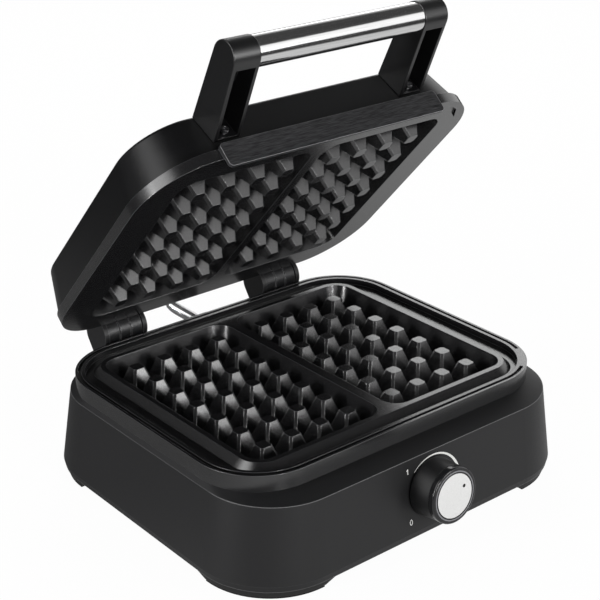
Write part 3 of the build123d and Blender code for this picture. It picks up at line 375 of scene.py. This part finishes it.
def print_on_wall(name, bm):
    """Gives flat print its thickness and lays it on the front wall."""
    grown = bmesh.ops.extrude_face_region(bm, geom=bm.faces[:])
    top = [part for part in grown["geom"] if isinstance(part, bmesh.types.BMVert)]
    bmesh.ops.translate(bm, verts=top, vec=(0, 0, ink_thickness))
    bmesh.ops.recalc_face_normals(bm, faces=bm.faces)
    bmesh.ops.transform(bm, matrix=wall_frame, verts=bm.verts)
    show(name, bm, white_ink, "base")


arc_centre = Vector((0.0024, -0.0024, 0))
arc_radius = 0.0238
arc_start = radians(135)
arc_turn = radians(-115)
arc_steps = 48
thin_half = 0.0002
thick_half = 0.00095
bm = bmesh.new()
ends = [bm.verts.new(((arc_radius + side * thin_half) * cos(arc_start),
                      (arc_radius + side * thin_half) * sin(arc_start), 0)) for side in (-1, 1)]
bmesh.ops.spin(bm, geom=[*ends, bm.edges.new(ends)], cent=(0, 0, 0), axis=(0, 0, 1),
               angle=arc_turn, steps=arc_steps, dvec=(0, 0, 0), use_duplicate=False)
for vert in bm.verts:
    share = (atan2(vert.co.y, vert.co.x) - arc_start) / arc_turn
    half = thin_half + (thick_half - thin_half) * share
    side = 1 if vert.co.length > arc_radius else -1
    vert.co = vert.co.normalized() * (arc_radius + side * half)
bmesh.ops.translate(bm, verts=bm.verts, vec=arc_centre)
print_on_wall("dial_arc", bm)

zero_half_height = 0.0021
zero_narrowing = 0.6
zero_stroke = 0.0005
zero_place = (-0.0190, -0.0202, 0)
bm = bmesh.new()
bmesh.ops.create_circle(bm, cap_ends=True, segments=32, radius=zero_half_height)
bmesh.ops.scale(bm, vec=(zero_narrowing, 1, 1), verts=bm.verts)
bmesh.ops.inset_region(bm, faces=bm.faces[:], thickness=zero_stroke, use_boundary=True,
                       use_even_offset=True)
middle = min(bm.faces, key=lambda face: face.calc_center_median().length)
bmesh.ops.delete(bm, geom=[middle], context="FACES_ONLY")
bmesh.ops.translate(bm, verts=bm.verts, vec=zero_place)
print_on_wall("mark_zero", bm)

one_outline = [(-0.0003, -0.0019), (0.0003, -0.0019), (0.0003, 0.0019), (-0.0001, 0.0019),
               (-0.0011, 0.0010), (-0.0011, 0.0004), (-0.0003, 0.0011)]
one_place = (-0.0202, 0.0170, 0)
bm = bmesh.new()
bm.faces.new([bm.verts.new((x, y, 0)) for x, y in one_outline])
bmesh.ops.translate(bm, verts=bm.verts, vec=one_place)
print_on_wall("mark_one", bm)

# Knob: a black ABS moulding that is pushed on the thermostat's spindle. Its grip is grained,
# and the collar at its front comes out of a polished part of the mould and is glossy.
knob_reach = 0.0221
collar_depth = 0.0048
gloss, matt = 0.16, 0.46
grain_pitch = 0.8  # mm, coarser than the real grain so that it shows
grain_depth = 0.00005
rim_round = 0.0007
face_centre = Vector((0, knob_y, knob_z)) + wall_out * knob_reach
knob_plastic = finish("black_abs_matt_and_gloss", "0f0f10", 0.45, specular=0.4)
tree = knob_plastic.node_tree
shader = tree.nodes["Principled BSDF"]
place = add_node(tree, "ShaderNodeTexCoord")
inward = add_node(tree, "ShaderNodeVectorMath",
                  {"operation": "SUBTRACT", 0: face_centre}, {1: place.outputs["Object"]})
depth = add_node(tree, "ShaderNodeVectorMath",
                 {"operation": "DOT_PRODUCT", 1: wall_out}, {0: inward.outputs["Vector"]})
on_grip = add_node(tree, "ShaderNodeMath", {"operation": "GREATER_THAN", 1: collar_depth},
                   {0: depth.outputs["Value"]})
dull = add_node(tree, "ShaderNodeMapRange", {"To Min": gloss, "To Max": matt},
                {"Value": on_grip.outputs[0]})
tree.links.new(dull.outputs["Result"], shader.inputs["Roughness"])
tone = add_node(tree, "ShaderNodeMix", {"data_type": "RGBA", 6: rgb("1a1a1b"), 7: rgb("0d0d0e")},
                {0: on_grip.outputs[0]})
tree.links.new(tone.outputs[2], shader.inputs["Base Color"])
pores = add_node(tree, "ShaderNodeTexNoise", {"Scale": 1000 / grain_pitch, "Detail": 3.0},
                 {"Vector": place.outputs["Object"]})
rounded_normal = add_node(tree, "ShaderNodeBevel", {"samples": 6, "Radius": rim_round})
pore_height = add_node(tree, "ShaderNodeMath", {"operation": "MULTIPLY"},
                       {0: pores.outputs["Fac"], 1: on_grip.outputs[0]})
bump = add_node(tree, "ShaderNodeBump", {"Strength": 0.4, "Distance": grain_depth},
                {"Height": pore_height.outputs[0], "Normal": rounded_normal.outputs["Normal"]})
tree.links.new(bump.outputs["Normal"], shader.inputs["Normal"])
dress(knob_plastic, "knob")

# Knob's disc: anodised aluminium let into the collar, blasted to an even pale satin. One
# dark dot points to the setting. A gap parts the disc from a thin ring of turned steel, and
# its shade is painted on as a near-black band.
disc_radius = 0.0154
ring_inner = 0.0162
gap_half = (ring_inner - disc_radius) / 2 + 0.0001
dot_radius = 0.00125
dot_across = 0.0086
dot_above = 0.0043
dot_place = face_centre + Vector((dot_across, 0, 0)) + wall_up * dot_above
satin, turned = 0.5, 0.22
blast_pitch = 1.2  # mm, coarser than the real grit so that it shows
blast_depth = 0.00002
disc_round = 0.0002
disc = finish("satin_anodised_disc", "d6d6d5", 0.5, metallic=0.2)
tree = disc.node_tree
shader = tree.nodes["Principled BSDF"]
place = add_node(tree, "ShaderNodeTexCoord")
from_axis = add_node(tree, "ShaderNodeVectorMath",
                     {"operation": "DISTANCE", 1: face_centre}, {0: place.outputs["Object"]})
from_dot = add_node(tree, "ShaderNodeVectorMath",
                    {"operation": "DISTANCE", 1: dot_place}, {0: place.outputs["Object"]})
# Painted shade: the band of the gap between disc and ring is painted near-black.
gap_shade = add_node(tree, "ShaderNodeMath",
                  {"operation": "COMPARE", 1: (disc_radius + ring_inner) / 2, 2: gap_half},
                  {0: from_axis.outputs["Value"]})
in_dot = add_node(tree, "ShaderNodeMath", {"operation": "LESS_THAN", 1: dot_radius},
                  {0: from_dot.outputs["Value"]})
dark = add_node(tree, "ShaderNodeMath", {"operation": "MAXIMUM"},
                {0: gap_shade.outputs[0], 1: in_dot.outputs[0]})
blasting = add_node(tree, "ShaderNodeTexNoise", {"Scale": 1000 / blast_pitch, "Detail": 4.0},
                    {"Vector": place.outputs["Object"]})
pale = add_node(tree, "ShaderNodeValToRGB", links={"Fac": blasting.outputs["Fac"]})
pale.color_ramp.elements[0].color = rgb("c8c8c7")
pale.color_ramp.elements[1].color = rgb("d8d8d7")
on_ring = add_node(tree, "ShaderNodeMath", {"operation": "GREATER_THAN", 1: ring_inner},
                   {0: from_axis.outputs["Value"]})
steel = add_node(tree, "ShaderNodeMix", {"data_type": "RGBA", 7: rgb("77777a")},
                 {0: on_ring.outputs[0], 6: pale.outputs["Color"]})
tone = add_node(tree, "ShaderNodeMix", {"data_type": "RGBA", 7: rgb("0c0c0d")},
                {0: dark.outputs[0], 6: steel.outputs[2]})
tree.links.new(tone.outputs[2], shader.inputs["Base Color"])
dull = add_node(tree, "ShaderNodeMapRange", {"To Min": satin, "To Max": turned},
                {"Value": on_ring.outputs[0]})
tree.links.new(dull.outputs["Result"], shader.inputs["Roughness"])
rounded_normal = add_node(tree, "ShaderNodeBevel", {"samples": 6, "Radius": disc_round})
bump = add_node(tree, "ShaderNodeBump", {"Strength": 0.3, "Distance": blast_depth},
                {"Height": blasting.outputs["Fac"], "Normal": rounded_normal.outputs["Normal"]})
tree.links.new(bump.outputs["Normal"], shader.inputs["Normal"])
dress(disc, "knob_cap")

# Plates: die-cast aluminium, sprayed with a black non-stick coating, baked, and screwed down
# over the elements. The coating is semi-gloss and thin, and it has a fine fleck that glints.
# The edges of the studs and rims are painted greyer, a painted highlight.
coating = finish("baked_nonstick_coating", "141415", 0.28, specular=1.0)
work_surface(coating, ("101011", "1a1a1b"), (0.2, 0.27), 0.6, 0.014, 0.35, "4c4c4e")
dress(coating, "lower_plate", "upper_plate")

# Hinges: brackets and arms of steel, sprayed satin black with a slight orange peel and
# screwed to the base and the lid. Barrels turn between their ears, on pins that end in them.
bracket_paint = finish("satin_black_paint", "101011", 0.4, specular=0.3)
# Its edges are painted a lighter grey, a painted highlight.
work_surface(bracket_paint, ("0d0d0e", "171718"), (0.34, 0.5), 0.9, 0.07, 0.4, "48484a")
dress(bracket_paint, "hinge_bracket_left", "hinge_bracket_right", "hinge_arm_left",
      "hinge_arm_right")
# Turned and blackened: a dark metal, with its edges painted lighter, a painted highlight.
barrel_steel = finish("blackened_steel", "141415", 0.34, metallic=0.3)
work_surface(barrel_steel, ("0f0f10", "1e1e20"), (0.26, 0.42), 1.2, 0.09, 0.4, "8a8a8c")
dress(barrel_steel, "hinge_barrel_left", "hinge_barrel_right")
# Ground bar: a plain grey shine.
pin_steel = finish("plain_steel", "8c8c8e", 0.32, metallic=1.0)
work_surface(pin_steel, ("808082", "9a9a9c"), (0.26, 0.4), 0.8, 0.03, 0.3)
dress(pin_steel, "hinge_pin_left", "hinge_pin_right")

# Lid: a pressed shell with a stainless panel let into its top, and a strip along the plate's
# front edge. The scene shows it open by the angle below, and all grain on it is turned to suit.
rest_opening = radians(47.7)
# Baked enamel is smooth and satin, and its broad highlights follow the sloping walls.
enamel = finish("satin_black_enamel", "101011", 0.34, specular=0.3)
# Its edges are painted a dark grey a shade lighter, a painted highlight.
work_surface(enamel, ("0c0c0d", "121213"), (0.31, 0.37), 1.1, 0.012, 0.4, "303031")
dress(enamel, "lid_shell")
# Brushed along its length and then blackened, so that fine light lines run from end to end.
blackened = finish("brushed_blackened_strip", "2c2c2e", 0.4, metallic=0.6)
# Its edges are painted a light grey, a painted highlight.
work_surface(blackened, ("1c1c1d", "505052"), (0.32, 0.48), 9.0, 0.05, 0.5, "8c8c8e",
             stretch=(1, 22, 22), turn=rest_opening)
dress(blackened, "front_strip")
# Brushed from side to side: a grey sheen, drawn out square to the brushing.
stainless = finish("brushed_stainless_steel", "a2a2a3", 0.36, metallic=1.0)
work_surface(stainless, ("9c9c9d", "a9a9aa"), (0.33, 0.4), 14.0, 0.004, 0.5,
             stretch=(1, 30, 30), turn=rest_opening)
dress(stainless, "lid_panel")

# Handle: two ABS mouldings, open at the inside of the angle and screwed to the lid, with a
# tube between them. The mould's fine grain leaves a satin black, and the bright lines on its
# edges are a painted highlight.
handle_plastic = finish("satin_black_abs", "121213", 0.32, specular=0.65)
work_surface(handle_plastic, ("0e0e0f", "131314"), (0.28, 0.36), 0.9, 0.012, 0.4, "303031")
dress(handle_plastic, "handle_bracket_left", "handle_bracket_right", "handle_core",
      "conduit_boss", "conduit_collar")
# A stainless tube on a plastic core, polished lengthways: a near mirror with faint lines.
polished = finish("polished_stainless_steel", "e2e2e2", 0.12, metallic=1.0)
work_surface(polished, ("d9d9d9", "ebebeb"), (0.09, 0.16), 30.0, 0.004, 0.2,
             stretch=(1, 60, 60), turn=rest_opening)
dress(polished, "handle_tube")

# Conduit: a ribbed stainless hose that carries the lid's wires. It leaves the base behind
# the plate, swings out to the back and goes up into the lid. The real hose bends as the lid
# turns; here it is built in one fixed shape.
collar_low, collar_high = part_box("conduit_collar")
collar_radius = 0.0075
rear_wall_lean = radians(32.6)
lid_back = Vector((0, cos(rear_wall_lean), -sin(rear_wall_lean)))
down_rear_wall = Vector((0, sin(rear_wall_lean), -cos(rear_wall_lean)))
lid_entry = Vector((0, collar_low.y, collar_high.z)) + down_rear_wall * collar_radius
# Straight out of the boss, round one wide turn, and square into the collar on the lid
route = [
    Vector((0, bed_y + 0.1215, 0.066)),
    Vector((0, bed_y + 0.140, 0.066)),
    Vector((0, bed_y + 0.1655, 0.0665)),
    Vector((0, bed_y + 0.1645, 0.0815)),
    lid_entry + lid_back * 0.030,
    lid_entry + lid_back * 0.010,
    lid_entry + lid_back * 0.0005,
]
line = bpy.data.curves.new("conduit_line", "CURVE")
line.dimensions = "3D"
spline = line.splines.new("NURBS")
spline.points.add(len(route) - 1)
for point, place in zip(spline.points, route):
    point.co = (*place, 1)
spline.order_u = 3
spline.use_endpoint_u = True
spline.resolution_u = 24
carrier = bpy.data.objects.new("conduit_line", line)
scene.collection.objects.link(carrier)
traced = bpy.data.meshes.new_from_object(carrier)
stations = [vert.co.copy() for vert in traced.vertices]
bpy.data.objects.remove(carrier)
bpy.data.meshes.remove(traced)

rib_pitch = 0.0024
rib_high = 0.0045
rib_low = 0.0039
steps_per_rib = 4
hose_sides = 20
across = Vector((1, 0, 0))
runs = [(b - a).length for a, b in zip(stations, stations[1:])]
ring_count = int(sum(runs) / rib_pitch) * steps_per_rib + 1
bm = bmesh.new()
last_ring = None
for number in range(ring_count):
    rest_of_way = sum(runs) * number / (ring_count - 1)
    index = 0
    while index < len(runs) - 1 and rest_of_way > runs[index]:
        rest_of_way -= runs[index]
        index += 1
    ahead = (stations[index + 1] - stations[index]).normalized()
    before = (stations[index] - stations[max(index - 1, 0)]).normalized()
    heading = (ahead + before).normalized()
    centre = stations[index] + ahead * rest_of_way
    wave = (1 - cos(2 * pi * number / steps_per_rib)) / 2
    square = Matrix((across, heading.cross(across), heading)).transposed().to_4x4()
    ring = bmesh.ops.create_circle(bm, segments=hose_sides,
                                   radius=rib_low + (rib_high - rib_low) * wave,
                                   matrix=Matrix.Translation(centre) @ square)
    edges = list({edge for vert in ring["verts"] for edge in vert.link_edges})
    if last_ring:
        bmesh.ops.bridge_loops(bm, edges=last_ring + edges)
    last_ring = edges
bmesh.ops.holes_fill(bm, edges=bm.edges[:])
bmesh.ops.recalc_face_normals(bm, faces=bm.faces)
for face in bm.faces:
    face.smooth = True
# Wound from bright strip: each rib carries its own small highlight.
hose_steel = finish("ribbed_stainless_hose", "c4c4c5", 0.2, metallic=1.0)
work_surface(hose_steel, ("b4b4b5", "cccccd"), (0.14, 0.26), 2.0, 0.01, 0.1)
dress(hose_steel, "wire_conduit")
conduit = show("ribbed_conduit", bm, hose_steel, None)
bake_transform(conduit)
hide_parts("wire_conduit")
